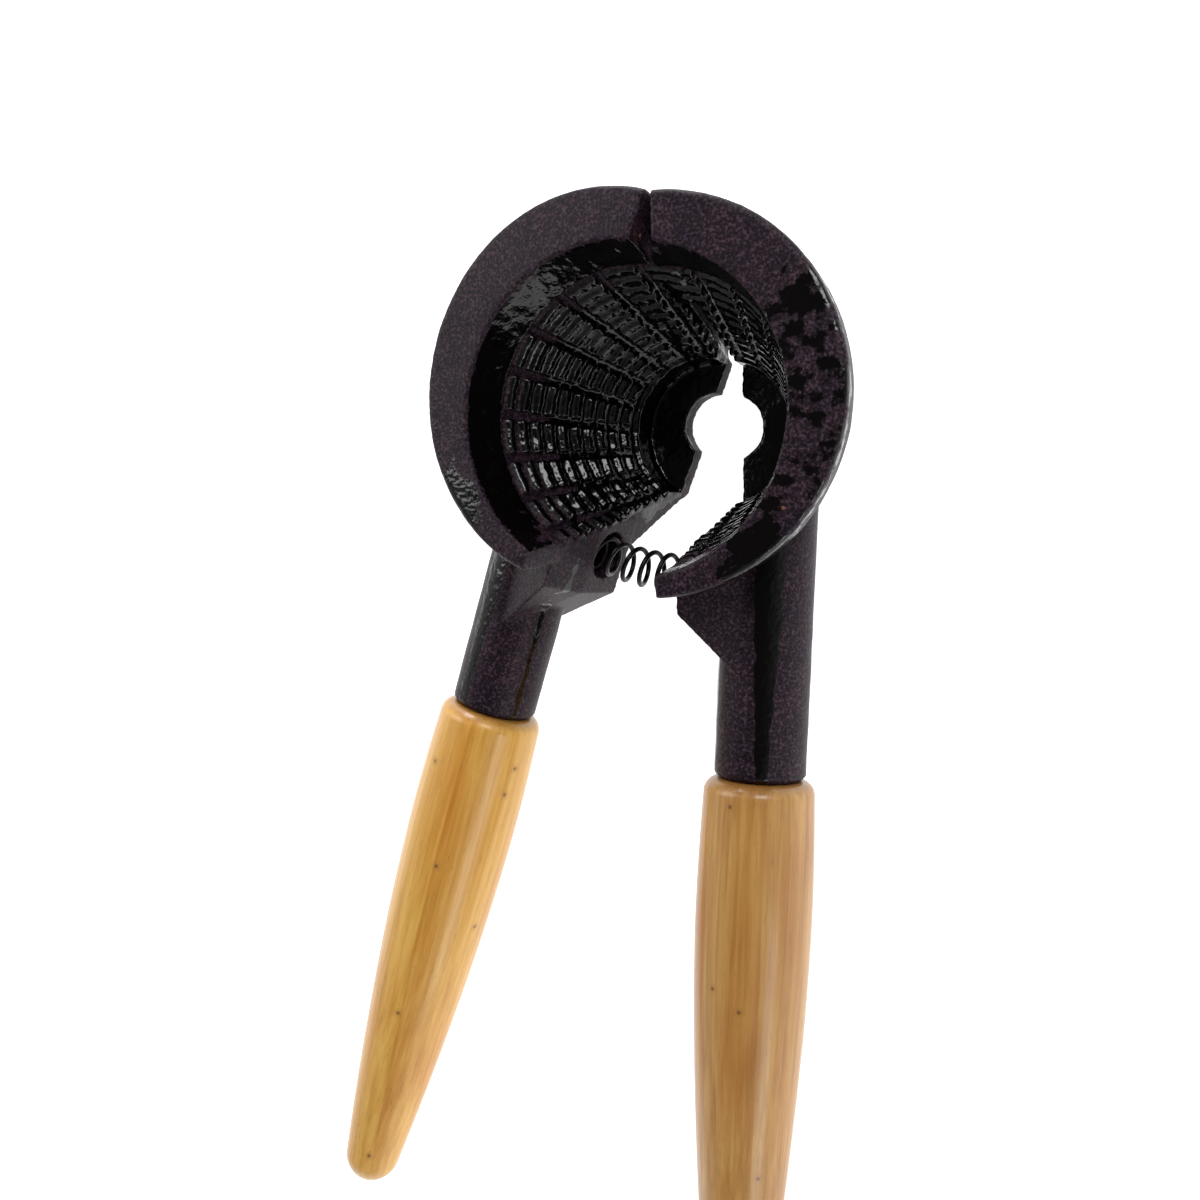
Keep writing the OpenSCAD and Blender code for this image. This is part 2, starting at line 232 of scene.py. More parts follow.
def new_material(name):
    """An empty material with a Principled BSDF joined to its output."""
    material = bpy.data.materials.new(name)
    material.use_nodes = True
    tree = material.node_tree
    tree.nodes.clear()
    surface = add(tree, "ShaderNodeBsdfPrincipled")
    add(tree, "ShaderNodeOutputMaterial", {"Surface": surface.outputs["BSDF"]})
    return material, tree, surface


def give(piece, material):
    piece.data.materials.clear()
    piece.data.materials.append(material)


print("material tools ready")

# %% [markdown]
# ## Camera
# The camera looks down into the mouth from the right, close enough for the handles to run away
# from it. Its place, the point it looks at and its roll are three plain values, and its lens is
# a short normal lens.

# %% Camera
CAMERA_PLACE = np.array([0.1035, 0.0226, 0.2485])
CAMERA_TARGET = np.array([0.0047, 0.0280, 0.0500])
CAMERA_ROLL = radians(-12.85)
CAMERA_LENS = 41.66

ahead = CAMERA_TARGET - CAMERA_PLACE
ahead = ahead / np.linalg.norm(ahead)
up = np.array([0, 1.0, 0]) - ahead[1] * ahead
up = turn_matrix(ahead, CAMERA_ROLL) @ (up / np.linalg.norm(up))
facing = np.eye(4)
facing[:3, :3] = np.stack([np.cross(ahead, up), up, -ahead], axis=1)
facing[:3, 3] = CAMERA_PLACE
camera = bpy.data.objects.new("camera", bpy.data.cameras.new("camera"))
camera.data.lens = CAMERA_LENS
camera.data.clip_start = 0.01
camera.matrix_world = Matrix(facing.tolist())
bpy.context.scene.collection.objects.link(camera)
bpy.context.scene.camera = camera
print("camera at", CAMERA_PLACE, "with a", CAMERA_LENS, "mm lens")

# %% [markdown]
# ## Floor and light
# Dark glossy paint shows mostly what it reflects, so the light matters as much as the paint. The
# floor is white paper on a light table: it shines by itself, so no shadow shows on it. Pale panels
# stand in for a studio's soft boxes. The world is a room with white walls and a dark ceiling: the
# walls light the sides of the handles, and the dark ceiling is what the inside of the cone mirrors,
# which keeps it black.

# %% Floor and light
FLOOR_SIDE = 3.0
PAPER_FIBRE = 2                # mm
WALL_LIGHT, CEILING_LIGHT, TABLE_LIGHT = 0.80, 0.06, 1.0
CEILING_FROM = 0.9             # height on the unit sphere of directions where the ceiling is darkest
SOFT_BOXES = (                 # name, place, target and size in metres, power in watts
    ("soft_box_left", (-0.55, 0.15, 0.50), (0, 0, 0.03), (0.40, 0.40), 2.0),
    ("soft_box_back", (-0.30, 0.75, 0.16), (0, 0.03, 0.03), (0.70, 0.20), 5.0),
    ("soft_box_right", (0.60, -0.40, 0.28), (0, 0, 0.03), (0.25, 0.50), 1.3),
    ("soft_box_top", (0.25, 0.40, 0.65), (0, 0, 0.03), (0.30, 0.30), 2.4))
floor = new_piece("floor", FLOOR_SIDE * np.array([[-1, -1, 0], [1, -1, 0], [1, 1, 0], [-1, 1, 0]]),
                  np.array([[0, 1, 2, 3]]))
paper, tree, surface = new_material("white_paper")
fibres = add(tree, "ShaderNodeTexNoise", {"Scale": per_mm(PAPER_FIBRE), "Detail": 3.0})
shade = add(tree, "ShaderNodeValToRGB", {"Fac": fibres.outputs["Fac"]},
            ramp=[(0.3, "#c6c6c5"), (0.7, "#cbcbca")])
tree.links.new(shade.outputs["Color"], surface.inputs["Base Color"])
for socket, value in (("Roughness", 0.9), ("Emission Color", (1, 1, 1, 1)),
                      ("Emission Strength", TABLE_LIGHT)):
    surface.inputs[socket].default_value = value
give(floor, paper)


def panel(name, place, target, size, power):
    """A rectangular soft box: an area light whose -Z points at the target."""
    light = bpy.data.lights.new(name, "AREA")
    light.shape, light.size, light.size_y, light.energy = "RECTANGLE", size[0], size[1], power
    lamp = bpy.data.objects.new(name, light)
    back = np.array(place, float) - target
    back = back / np.linalg.norm(back)
    side = np.cross([0, 1.0, 0.2], back)
    side = side / np.linalg.norm(side)
    stand = np.eye(4)
    stand[:3, :3] = np.stack([side, np.cross(back, side), back], axis=1)
    stand[:3, 3] = place
    lamp.matrix_world = Matrix(stand.tolist())
    bpy.context.scene.collection.objects.link(lamp)


for soft_box in SOFT_BOXES:
    panel(*soft_box)
world = bpy.data.worlds.new("white_room")
world.use_nodes = True
bpy.context.scene.world = world
room = world.node_tree
direction = add(room, "ShaderNodeTexCoord").outputs["Generated"]
height = add(room, "ShaderNodeSeparateXYZ", {"Vector": direction}).outputs["Z"]
brightness = add(room, "ShaderNodeMapRange", {"Value": height, "From Max": CEILING_FROM,
                                              "To Min": WALL_LIGHT, "To Max": CEILING_LIGHT})
room.links.new(brightness.outputs["Result"], room.nodes["Background"].inputs["Strength"])
room.nodes["Background"].inputs["Color"].default_value = (1, 1, 1, 1)
bpy.context.scene.view_settings.view_transform = "Standard"
print("floor,", len(SOFT_BOXES), "soft boxes and a white room")

# %% [markdown]
# ## Cast jaws
# The jaws are iron cast in sand and dipped in thick paint, so none of their edges is sharp and
# none of their faces is quite flat. Bevelling several hundred edges one by one would be slow and
# would fail where ridges and grooves cross. Instead a copy of the CAD mesh is rebuilt from small
# cubes (a voxel remesh), smoothed and thinned, which rounds every edge by about half a millimetre
# and keeps it in place. A few hundredths of a millimetre of lumps are added along the normals.

# %% Cast jaws
VOXEL = 0.33 * MM
KEPT_SHARE = 0.42              # share of the faces that thinning keeps, to stay below 200,000
WELD = 0.002 * MM              # corners of neighbouring faces this close are one point
LUMP_HEIGHT = 0.05             # mm
SAND_LUMP, SAND_GRAIN = 3.1, 1.3           # mm, sizes of the lumps and of the finer ones on them


def soft_casting(name, node, body):
    """A merged copy of the CAD node, remeshed, smoothed and thinned, with lumps along its normals."""
    shape = bmesh.new()
    shape.from_mesh(nodes[node].data)
    bmesh.ops.remove_doubles(shape, verts=shape.verts, dist=WELD)
    mesh = bpy.data.meshes.new(name)
    shape.to_mesh(mesh)
    shape.free()
    piece = bpy.data.objects.new(name, mesh)
    bpy.context.scene.collection.objects.link(piece)
    remesh = piece.modifiers.new("cubes", "REMESH")
    remesh.mode, remesh.voxel_size, remesh.use_smooth_shade = "VOXEL", VOXEL, True
    smooth = piece.modifiers.new("smooth", "SMOOTH")
    smooth.factor, smooth.iterations = 0.5, 2
    thin = piece.modifiers.new("thin", "DECIMATE")
    thin.ratio = KEPT_SHARE
    seen = piece.evaluated_get(bpy.context.evaluated_depsgraph_get())
    piece.modifiers.clear()
    piece.data = bpy.data.meshes.new_from_object(seen)
    piece.data.name = name
    p = points_of(piece.data) / MM
    # the 1.0 lowers the whole surface by LUMP_HEIGHT, so the lumps hardly rise above the CAD shape
    push_out(piece.data, LUMP_HEIGHT * (lumps(p, SAND_LUMP) + 0.5 * lumps(p, SAND_GRAIN) - 1.0))
    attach(piece, body)
    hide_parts(node)
    print(name, "has", len(piece.data.polygons), "faces")
    return piece


right_casting = soft_casting("right_casting", "right_jaw", "right_half")
left_casting = soft_casting("left_casting", "left_jaw", "left_half")

# %% [markdown]
# ## Where the paint pooled, and the cavity's painted shade
# The paint ran off the flat faces and gathered in the cavity, where it dried to a smooth gloss over
# its own runs and lumps; the cavity's near-black colour is painted shade as well as that pool. It
# also ran down the stubs in dark stripes. Each point of a casting gets a number for that, from 0
# for thin speckled paint to 1 for a thick pool and for the painted shade of the cavity, and the
# material turns its soft edge into a ragged one. It could be painted by hand, but a formula in the
# half's own directions gives the same result each time.

# %% Paint pools and painted cavity shade
CAVITY_RIM, CAVITY_THROAT = 27.2, 14.4     # mm, radius of the glossy region at mouth and end wall
CAVITY_SHIFT = np.array([-3.9, -2.3])
THROAT_SHIFT = np.array([-1.0, -1.6])
WALL_Z, CONE_H = -46.8, 50.0
STUB_X, STUB_DEPTH, STUB_LEAN = 14.9, 22.0, radians(3.2)
RUN_HEIGHT = 0.13                          # mm, how much the thick paint rises and falls
RUN_LUMP, RUN_RIPPLE = 1.7, 0.8            # mm
STUB_TOP = 20, 24                          # mm along the stub, where its stripes begin
STRIPE_AT, STRIPE_HALF, STRIPE_EDGE = 18, 20, 18           # degrees round the stub
NARROWS_FROM, NARROWS_BY = 25, 0.32        # mm along the stub, and degrees for each mm
SEAM_SHARE, SEAM_AT, SEAM_HALF, SEAM_EDGE = 0.85, -64, 5, 8  # the thin stripe: share, then degrees
RING_DROPS = {1: (0.50, -4, 48, 30),       # share of drops, then degrees round the mouth's axis
              -1: (0.30, 62, 14, 12)}


def cavity_shade_and_gloss(p):
    """1 inside the cone of the cavity and above the end wall, where shade is painted and the paint is
    glossy, easing to 0 within a millimetre.
    """
    depth = np.clip(-p[:, 2] / CONE_H, 0, 1)[:, None]
    middle = CAVITY_SHIFT + (THROAT_SHIFT - CAVITY_SHIFT) * depth
    radius = np.hypot(*(p[:, :2] - middle).T)
    wall = CAVITY_RIM + (CAVITY_THROAT - CAVITY_RIM) * depth[:, 0]
    return (ease(wall + 0.3 - radius, -0.3, 0.5) * ease(-p[:, 2], 0.3, 0.9)
            * ease(p[:, 2], WALL_Z - 0.6, WALL_Z - 0.1))


def stub_angle(p):
    """Degrees round the stub's axis, 0 at the mouth side and 90 on the outside, and distance."""
    along = -p[:, 1] * np.cos(STUB_LEAN) - (p[:, 0] - STUB_X) * np.sin(STUB_LEAN)
    across = (p[:, 0] - STUB_X) * np.cos(STUB_LEAN) - p[:, 1] * np.sin(STUB_LEAN)
    return np.degrees(np.arctan2(across, p[:, 2] + STUB_DEPTH)), along


def stripe(value, middle, half_width, edge):
    """1 within half_width of the middle, falling to 0 over edge on both sides."""
    return 1 - ease(np.abs(value - middle), half_width - edge / 2, half_width + edge / 2)


def pools_and_cavity_shade(p, side):
    """The larger of: the cavity with its painted shade, two stripes along the stub, and a share of drops
    on the ring.
    """
    angle, along = stub_angle(p)
    half_width = STRIPE_HALF - NARROWS_BY * np.clip(along - NARROWS_FROM, 0, 40)
    wide = stripe(angle, STRIPE_AT, half_width, STRIPE_EDGE)
    seam = SEAM_SHARE * stripe(angle, SEAM_AT, SEAM_HALF, SEAM_EDGE)
    stub = ease(along, *STUB_TOP) * np.maximum(wide, seam)
    around = np.degrees(np.arctan2(p[:, 1], p[:, 0]))
    on_ring = ease(p[:, 2], -4, -3)
    share, *band = RING_DROPS[side]
    return np.maximum.reduce([cavity_shade_and_gloss(p), stub, on_ring * (share * stripe(around, *band))])


for casting, side in ((right_casting, 1), (left_casting, -1)):
    in_half = back_to_half(points_of(casting.data), side)
    runs = lumps(in_half + 20, RUN_LUMP) + 0.6 * lumps(in_half + 50, RUN_RIPPLE)
    push_out(casting.data, RUN_HEIGHT * cavity_shade_and_gloss(in_half) * runs)
    # the stored number marks pooled paint, and painted shade over the whole cavity
    pool_and_shade = pools_and_cavity_shade(in_half, side)
    paint_points(casting.data, "paint_pool_and_shade", pool_and_shade)
    print(casting.name, "has pools on", round(100 * float(pool_and_shade.mean())), "percent of its points")

# %% [markdown]
# ## Hammer-finish paint on cast iron
# Hammer-finish paint dries in tiny cells with a dark centre and a greyer edge, which gives the eye
# a fine speckle under a millimetre across over a charcoal ground with a trace of purple-brown.
# Where the paint pooled it is almost black and nearly as smooth as glass; in the cavity the near
# black is painted shade as well as pooled paint. A noise and a Voronoi pattern on Object coordinates
# give the speckle. The number stored at each point, with a coarser noise added to make its edge
# ragged, mixes the speckle with the pooled paint and the cavity's painted shade. Rust shows through
# in a few pinholes.

# %% Hammer-finish paint
GRAIN, MOTTLE, PINHOLES, ORANGE_PEEL, DROP = 0.42, 5.0, 11.0, 1.0, 3.4        # mm
PAINT_RELIEF = 0.16                        # mm, depth of the speckle and of the orange peel
RAGGED = 1.3                               # how far the noise moves the edge of a pool
# a pool here also means the cavity's painted shade
POOL_AND_SHADE_FROM, POOL_AND_SHADE_TO = 1.12, 1.20            # sum of noise and stored number where a pool begins
hammer_paint, tree, surface = new_material("hammer_finish_paint_on_cast_iron")
place = add(tree, "ShaderNodeTexCoord").outputs["Object"]
grain = add(tree, "ShaderNodeTexNoise", {"Vector": place, "Scale": per_mm(GRAIN), "Detail": 2.0,
                                         "Roughness": 0.6})
cells = add(tree, "ShaderNodeTexVoronoi", {"Vector": place, "Scale": per_mm(GRAIN)},
            feature="SMOOTH_F1")
mottle = add(tree, "ShaderNodeTexNoise", {"Vector": place, "Scale": per_mm(MOTTLE), "Detail": 3.0})
speckle = add(tree, "ShaderNodeMath", {0: grain.outputs["Fac"], 1: 0.5, 2: 0.0},
              operation="MULTIPLY_ADD")
speckle = add(tree, "ShaderNodeMath", {0: cells.outputs["Distance"], 1: 0.45,
                                       2: speckle.outputs[0]}, operation="MULTIPLY_ADD")
thin_colour = add(tree, "ShaderNodeValToRGB", {"Fac": speckle.outputs[0]},
                  ramp=[(0.34, "#130c12"), (0.46, "#291d28"), (0.58, "#4b3b47")])
warm = add(tree, "ShaderNodeValToRGB", {"Fac": mottle.outputs["Fac"]},
           ramp=[(0.35, "#d2cfd8"), (0.65, "#fff0ea")])
thin_colour = add(tree, "ShaderNodeMix", {"Factor": 1.0, "A": thin_colour.outputs["Color"],
                                          "B": warm.outputs["Color"]},
                  data_type="RGBA", blend_type="MULTIPLY")
holes = add(tree, "ShaderNodeTexVoronoi", {"Vector": place, "Scale": per_mm(PINHOLES)})
rust_mask = add(tree, "ShaderNodeMapRange", {"Value": holes.outputs["Distance"], "From Min": 0.035,
                                             "From Max": 0.02, "To Min": 0.0, "To Max": 0.8})
thin_colour = add(tree, "ShaderNodeMix", {"Factor": rust_mask.outputs["Result"],
                                          "A": thin_colour.outputs["Result"],
                                          "B": linear("#8a5a34")}, data_type="RGBA")
# pooled paint, and painted shade in the cavity
pool_and_shade_zone = add(tree, "ShaderNodeAttribute", attribute_name="paint_pool_and_shade").outputs["Fac"]
drop_noise = add(tree, "ShaderNodeTexNoise", {"Vector": place, "Scale": per_mm(DROP), "Detail": 4.0,
                                              "Roughness": 0.6})
ragged = add(tree, "ShaderNodeMath", {0: drop_noise.outputs["Fac"], 1: RAGGED, 2: pool_and_shade_zone},
             operation="MULTIPLY_ADD")
pool_and_shade_amount = add(tree, "ShaderNodeMapRange", {"Value": ragged.outputs[0], "From Min": POOL_AND_SHADE_FROM,
                                               "From Max": POOL_AND_SHADE_TO}).outputs["Result"]
# near black: the pooled paint, and in the cavity painted shade as well
colour = add(tree, "ShaderNodeMix", {"Factor": pool_and_shade_amount, "A": thin_colour.outputs["Result"],
                                     "B": linear("#050304")}, data_type="RGBA")
gloss = add(tree, "ShaderNodeMapRange", {"Value": pool_and_shade_amount, "To Min": 0.40, "To Max": 0.10})
gloss = add(tree, "ShaderNodeMath", {0: grain.outputs["Fac"], 1: 0.12, 2: gloss.outputs["Result"]},
            operation="MULTIPLY_ADD")
shine = add(tree, "ShaderNodeMapRange", {"Value": pool_and_shade_amount, "To Min": 0.15, "To Max": 0.42})
peel = add(tree, "ShaderNodeTexNoise", {"Vector": place, "Scale": per_mm(ORANGE_PEEL),
                                        "Detail": 1.0})
height = add(tree, "ShaderNodeMix", {"Factor": pool_and_shade_amount, "A": speckle.outputs[0],
                                     "B": peel.outputs["Fac"]}, data_type="FLOAT")
bump = add(tree, "ShaderNodeBump", {"Height": height.outputs["Result"], "Strength": 0.7,
                                    "Distance": PAINT_RELIEF * MM})
for socket, source in (("Base Color", colour.outputs["Result"]), ("Roughness", gloss.outputs[0]),
                       ("Specular IOR Level", shine.outputs["Result"]),
                       ("Normal", bump.outputs["Normal"])):
    tree.links.new(source, surface.inputs[socket])
surface.inputs["IOR"].default_value = 1.52
give(right_casting, hammer_paint)
give(left_casting, hammer_paint)
print("speckle", GRAIN, "mm, mottling", MOTTLE, "mm")

# %% [markdown]
# ## Opening spring
# A compression spring is wire wound on a rod. Its middle line is an arc about the hinge, because
# its seats turn with the jaws. The wire is a round profile carried along the helix: a circle in
# the plane of the coil's radius and of the middle line. A curve with a bevel would do too, but
# the grid gives even faces and closed ends.

# %% Opening spring
SPRING_D, WIRE_D, TURNS = 7.2, 0.9, 9
SEAT_Y, SEAT_Z, SEAT_FLOOR = -29.0, -25.8, 6.15
STEPS_PER_TURN, WIRE_SIDES = 36, 12
END_GAP = radians(0.1)                     # keeps the ends off the floors of the seats

hinge_dir = np.array([0, np.sin(HINGE_SLANT), np.cos(HINGE_SLANT)])
hinge_at = np.array([0, HINGE_Y, 0])
seat = np.array([0, SEAT_Y, SEAT_Z])
foot = hinge_at + hinge_dir * (hinge_dir @ (seat - hinge_at))
arm_l = np.linalg.norm(seat - foot)
arm = (seat - foot) / arm_l
sideways = np.cross(hinge_dir, arm)
coil_r = (SPRING_D - WIRE_D) / 2
half_arc = HALF_OPEN + np.arcsin((SEAT_FLOOR - WIRE_D / 2) / (arm_l + coil_r)) - END_GAP


def wire(u, w):
    """Arc point + coil radius outwards, then the wire's circle: radial cos w, along the arc sin w."""
    u, w = u[..., None], w[..., None]
    a, turn = half_arc * (2 * u - 1), 2 * np.pi * TURNS * u
    out = arm * np.cos(a) + sideways * np.sin(a)
    along = -arm * np.sin(a) + sideways * np.cos(a)
    radial = out * np.cos(turn) + hinge_dir * np.sin(turn)
    return (foot + out * arm_l + radial * (coil_r + WIRE_D / 2 * np.cos(w))
            + along * (WIRE_D / 2 * np.sin(w)))


wire_rows = TURNS * STEPS_PER_TURN + 1
u, w = np.meshgrid(np.linspace(0, 1, wire_rows),
                   np.linspace(0, 2 * np.pi, WIRE_SIDES, endpoint=False), indexing="ij")
closed = wire(u, w).reshape(-1, 3)
tilt_only = turn_matrix(np.array([1.0, 0, 0]), REST_TILT)
spring = new_piece("wound_spring", HINGE_POINT + MM * (closed - hinge_at) @ tilt_only.T,
                   tube_faces(wire_rows, WIRE_SIDES))
close_ends(spring, wire_rows, WIRE_SIDES)
spring_middle = points_of(spring.data).mean(axis=0)
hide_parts("opening_spring")
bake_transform(spring)
print("spring of", TURNS, "turns, wire", WIRE_D, "mm")

# %% [markdown]
# ## Blackened spring wire
# Music wire is drawn through a die, which leaves faint lines along it, and blackened in hot oil.
# The oxide is a thin dark layer that still shines like metal, so metallic stays high and the base
# colour is nearly black.

# %% Blackened spring wire
OXIDE_PATCH, DRAW_LINE = 1.2, 0.08        # mm; the lines are finer than the render shows
spring_wire, tree, surface = new_material("blackened_spring_wire")
place = add(tree, "ShaderNodeTexCoord").outputs["Object"]
patches = add(tree, "ShaderNodeTexNoise", {"Vector": place, "Scale": per_mm(OXIDE_PATCH),
                                           "Detail": 3.0})
lines = add(tree, "ShaderNodeTexNoise", {"Vector": place, "Scale": per_mm(DRAW_LINE)})
colour = add(tree, "ShaderNodeValToRGB", {"Fac": patches.outputs["Fac"]},
             ramp=[(0.3, "#0f0e10"), (0.7, "#2b2a2d")])
gloss = add(tree, "ShaderNodeMapRange", {"Value": patches.outputs["Fac"], "To Min": 0.22,
                                         "To Max": 0.42})
bump = add(tree, "ShaderNodeBump", {"Height": lines.outputs["Fac"], "Distance": 0.01 * MM,
                                    "Strength": 0.4})
for socket, source in (("Base Color", colour.outputs["Color"]),
                       ("Roughness", gloss.outputs["Result"]), ("Normal", bump.outputs["Normal"])):
    tree.links.new(source, surface.inputs[socket])
surface.inputs["Metallic"].default_value = 0.8
give(spring, spring_wire)
print("spring wire material ready")

# %% [markdown]
# ## Turned handles
# A handle is turned on a lathe, so its surface is a radius that depends only on the distance from
# the shoulder, carried round the axis. A Screw modifier on a profile could make it as well. Here
# the grid is worked out directly, and every point also keeps its place in the wood, so that the
# grain runs along the handle however it lies.

# %% Turned handles
GRIP_L, GRIP_D, SHOULDER_D, TIP_D = 100.8, 20.2, 18.8, 9.5
SHOULDER_ROUND, TIP_ROUND, BELLY_AT, STUB_END = 2.4, 5.0, 0.24, 64.0
TAPER_POWER = 1.65                         # higher keeps the barrel thick for longer
SANDED, SANDED_PATCH = 0.06, 6.0           # mm, depth and size of the unevenness
ROUND_SIDES, SHOULDER_ROWS, BARREL_ROWS, TIP_ROWS = 96, 14, 120, 24
WOOD_APART = 0.3                           # m, how far the grain is moved, one way for each handle


def barrel_radius(s):
    """Half of: largest diameter less a parabola before the belly, and less a 1.65 power after it."""
    belly = BELLY_AT * GRIP_L
    before = GRIP_D - (GRIP_D - SHOULDER_D) * np.clip((belly - s) / belly, 0, 1) ** 2
    after = GRIP_D - (GRIP_D - TIP_D) * np.clip((s - belly) / (GRIP_L - belly), 0, 1) ** TAPER_POWER
    return np.where(s < belly, before, after) / 2


def grip_profile():
    """Distance and radius from the middle of the shoulder, over its quarter round, to the tip."""
    quarter = np.linspace(0, np.pi / 2, SHOULDER_ROWS)
    s_top = SHOULDER_ROUND * (1 - np.cos(quarter))
    r_top = barrel_radius(s_top) - SHOULDER_ROUND * (1 - np.sin(quarter))
    s_side = np.linspace(SHOULDER_ROUND, GRIP_L - TIP_ROUND, BARREL_ROWS)[1:-1]
    s_tip = GRIP_L - TIP_ROUND + TIP_ROUND * np.sin(np.linspace(0, 0.99 * np.pi / 2, TIP_ROWS))
    r_tip = barrel_radius(s_tip) * np.sqrt(1 - ((s_tip - GRIP_L + TIP_ROUND) / TIP_ROUND) ** 2)
    flat = np.array([0.02, 3.0, 5.0])      # mm, radii of the rings on the flat of the shoulder
    return (np.concatenate([0 * flat, s_top, s_side, s_tip]),
            np.concatenate([flat, r_top, barrel_radius(s_side), r_tip]))


def turned_handle(name, node, body, side):
    """Axis point + radius times the circle round it, less a little unevenness from hand sanding."""
    s, r = grip_profile()
    rows = len(s)
    s, angle = np.meshgrid(s, np.linspace(0, 2 * np.pi, ROUND_SIDES, endpoint=False), indexing="ij")
    r = np.repeat(r[:, None], ROUND_SIDES, axis=1)
    in_wood = np.stack([r * np.cos(angle), r * np.sin(angle), s], axis=-1).reshape(-1, 3)
    patches = lumps(in_wood * [1, 1, 0.4] + 30 * side, SANDED_PATCH)
    sanded = SANDED * (patches - 1) * ease(in_wood[:, 2], 0, 6)
    shape = in_wood.copy()
    shape[:, :2] *= (1 + sanded / np.maximum(r.ravel(), 1))[:, None]
    across = np.array([np.cos(STUB_LEAN), -np.sin(STUB_LEAN), 0])
    along = np.array([-np.sin(STUB_LEAN), -np.cos(STUB_LEAN), 0])
    start = np.array([STUB_X, 0, -STUB_DEPTH]) + STUB_END * along
    points = (start + shape[:, :1] * across + shape[:, 1:2] * [0, 0, 1] + shape[:, 2:] * along)
    piece = new_piece(name, set_in_place(points, side), tube_faces(rows, ROUND_SIDES))
    close_ends(piece, rows, ROUND_SIDES)
    paint_points(piece.data, "in_wood", in_wood * MM + WOOD_APART * side)
    paint_points(piece.data, "from_shoulder", in_wood[:, 2])
    paint_points(piece.data, "browner", np.full(len(points), (side + 1) / 2))
    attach(piece, body)
    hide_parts(node)
    print(name, "has", len(piece.data.polygons), "faces")
    return piece


right_grip = turned_handle("right_turned_handle", "right_handle", "right_half", 1)
left_grip = turned_handle("left_turned_handle", "left_handle", "left_half", -1)

# %% [markdown]
# ## Lacquered fruitwood
# The handles are a pale, close-grained wood such as hornbeam or birch, tinted honey-yellow by
# clear lacquer. It shows soft streaks along the handle, growth rings that meet the surface at a
# slant, short fine pores and a few pin knots with a dark eye, and a darker band of painted shade
# at the shoulder round the stub, where the parts meet. The lacquer itself is a coat: a clear,
# smooth film whose highlight is sharper than the wood's own.

# %% Lacquered wood
STREAK, STREAK_L = 1.0, 40.0               # mm across and along the grain
PORE, PORE_L = 0.22, 3.2
BROAD, BROAD_L = 7, 30
RING_UNIT, RING_L = 28.35, 260             # mm for each unit of the waves, whose bands lie 9 mm apart
KNOT_HALO, KNOT_EYE = 1.3, 0.38            # mm, radii
# each knot: mm from the handle's axis in two directions, then from its shoulder
KNOTS = {-1: [(-9.4, 3.2, 13.5), (-3.0, 9.5, 29.6), (3.5, 9.3, 11.2), (-9.5, 2.3, 8.4),
              (-9.6, 1.2, 40.8), (-2.4, 8.2, 60.7), (-2.5, 5.1, 92.8), (4.0, -9.0, 47.0)],
         1: [(-2.1, 9.3, 3.7), (-3.9, 9.1, 34.8), (1.1, 9.7, 37.8), (4.8, 6.5, 66.7),
             (-6.0, -7.4, 22.0)]}
wood, tree, surface = new_material("honey_lacquered_hornbeam")
in_wood = add(tree, "ShaderNodeAttribute", attribute_name="in_wood").outputs["Vector"]


def stretched(across, along):
    """The place in the wood, scaled so that a texture of scale 1 has that size in mm."""
    return add(tree, "ShaderNodeMapping", {"Vector": in_wood, "Scale": (
        per_mm(across), per_mm(across), per_mm(along))}).outputs["Vector"]


streaks = add(tree, "ShaderNodeTexNoise", {"Vector": stretched(STREAK, STREAK_L), "Scale": 1.0,
                                           "Detail": 4.0, "Roughness": 0.6, "Distortion": 0.3})
broad = add(tree, "ShaderNodeTexNoise", {"Vector": stretched(BROAD, BROAD_L), "Scale": 1.0,
                                         "Detail": 3.0})
rings = add(tree, "ShaderNodeTexWave", {"Vector": stretched(RING_UNIT, RING_L), "Scale": 1.0,
                                        "Distortion": 2.5, "Detail": 2.0, "Detail Scale": 1.2},
            bands_direction="X", wave_profile="SAW")
pores = add(tree, "ShaderNodeTexNoise", {"Vector": stretched(PORE, PORE_L), "Scale": 1.0,
                                         "Detail": 2.0})
light_wood = add(tree, "ShaderNodeValToRGB", {"Fac": streaks.outputs["Fac"]},
                 ramp=[(0.30, "#cb963b"), (0.48, "#dba84a"), (0.66, "#e6b85e")])
brown_wood = add(tree, "ShaderNodeValToRGB", {"Fac": streaks.outputs["Fac"]},
                 ramp=[(0.30, "#a87938"), (0.48, "#b98a47"), (0.66, "#c69a57")])
browner = add(tree, "ShaderNodeAttribute", attribute_name="browner").outputs["Fac"]
colour = add(tree, "ShaderNodeMix", {"Factor": browner, "A": light_wood.outputs["Color"],
                                     "B": brown_wood.outputs["Color"]}, data_type="RGBA")
ring_tint = add(tree, "ShaderNodeValToRGB", {"Fac": rings.outputs["Fac"]},
                ramp=[(0.0, "#ffffff"), (0.8, "#f8efe2"), (1.0, "#e6cdab")])
colour = add(tree, "ShaderNodeMix", {"Factor": 0.6, "A": colour.outputs["Result"],
                                     "B": ring_tint.outputs["Color"]}, data_type="RGBA",
             blend_type="MULTIPLY")
broad_tint = add(tree, "ShaderNodeValToRGB", {"Fac": broad.outputs["Fac"]},
                 ramp=[(0.3, "#e9cfae"), (0.6, "#ffffff")])
colour = add(tree, "ShaderNodeMix", {"Factor": 0.8, "A": colour.outputs["Result"],
                                     "B": broad_tint.outputs["Color"]}, data_type="RGBA",
             blend_type="MULTIPLY")
pore_mask = add(tree, "ShaderNodeMapRange", {"Value": pores.outputs["Fac"], "From Min": 0.60,
                                             "From Max": 0.72, "To Min": 0.0, "To Max": 0.3})
colour = add(tree, "ShaderNodeMix", {"Factor": pore_mask.outputs["Result"],
                                     "A": colour.outputs["Result"], "B": linear("#7a5026")},
             data_type="RGBA")
nearest = 1.0
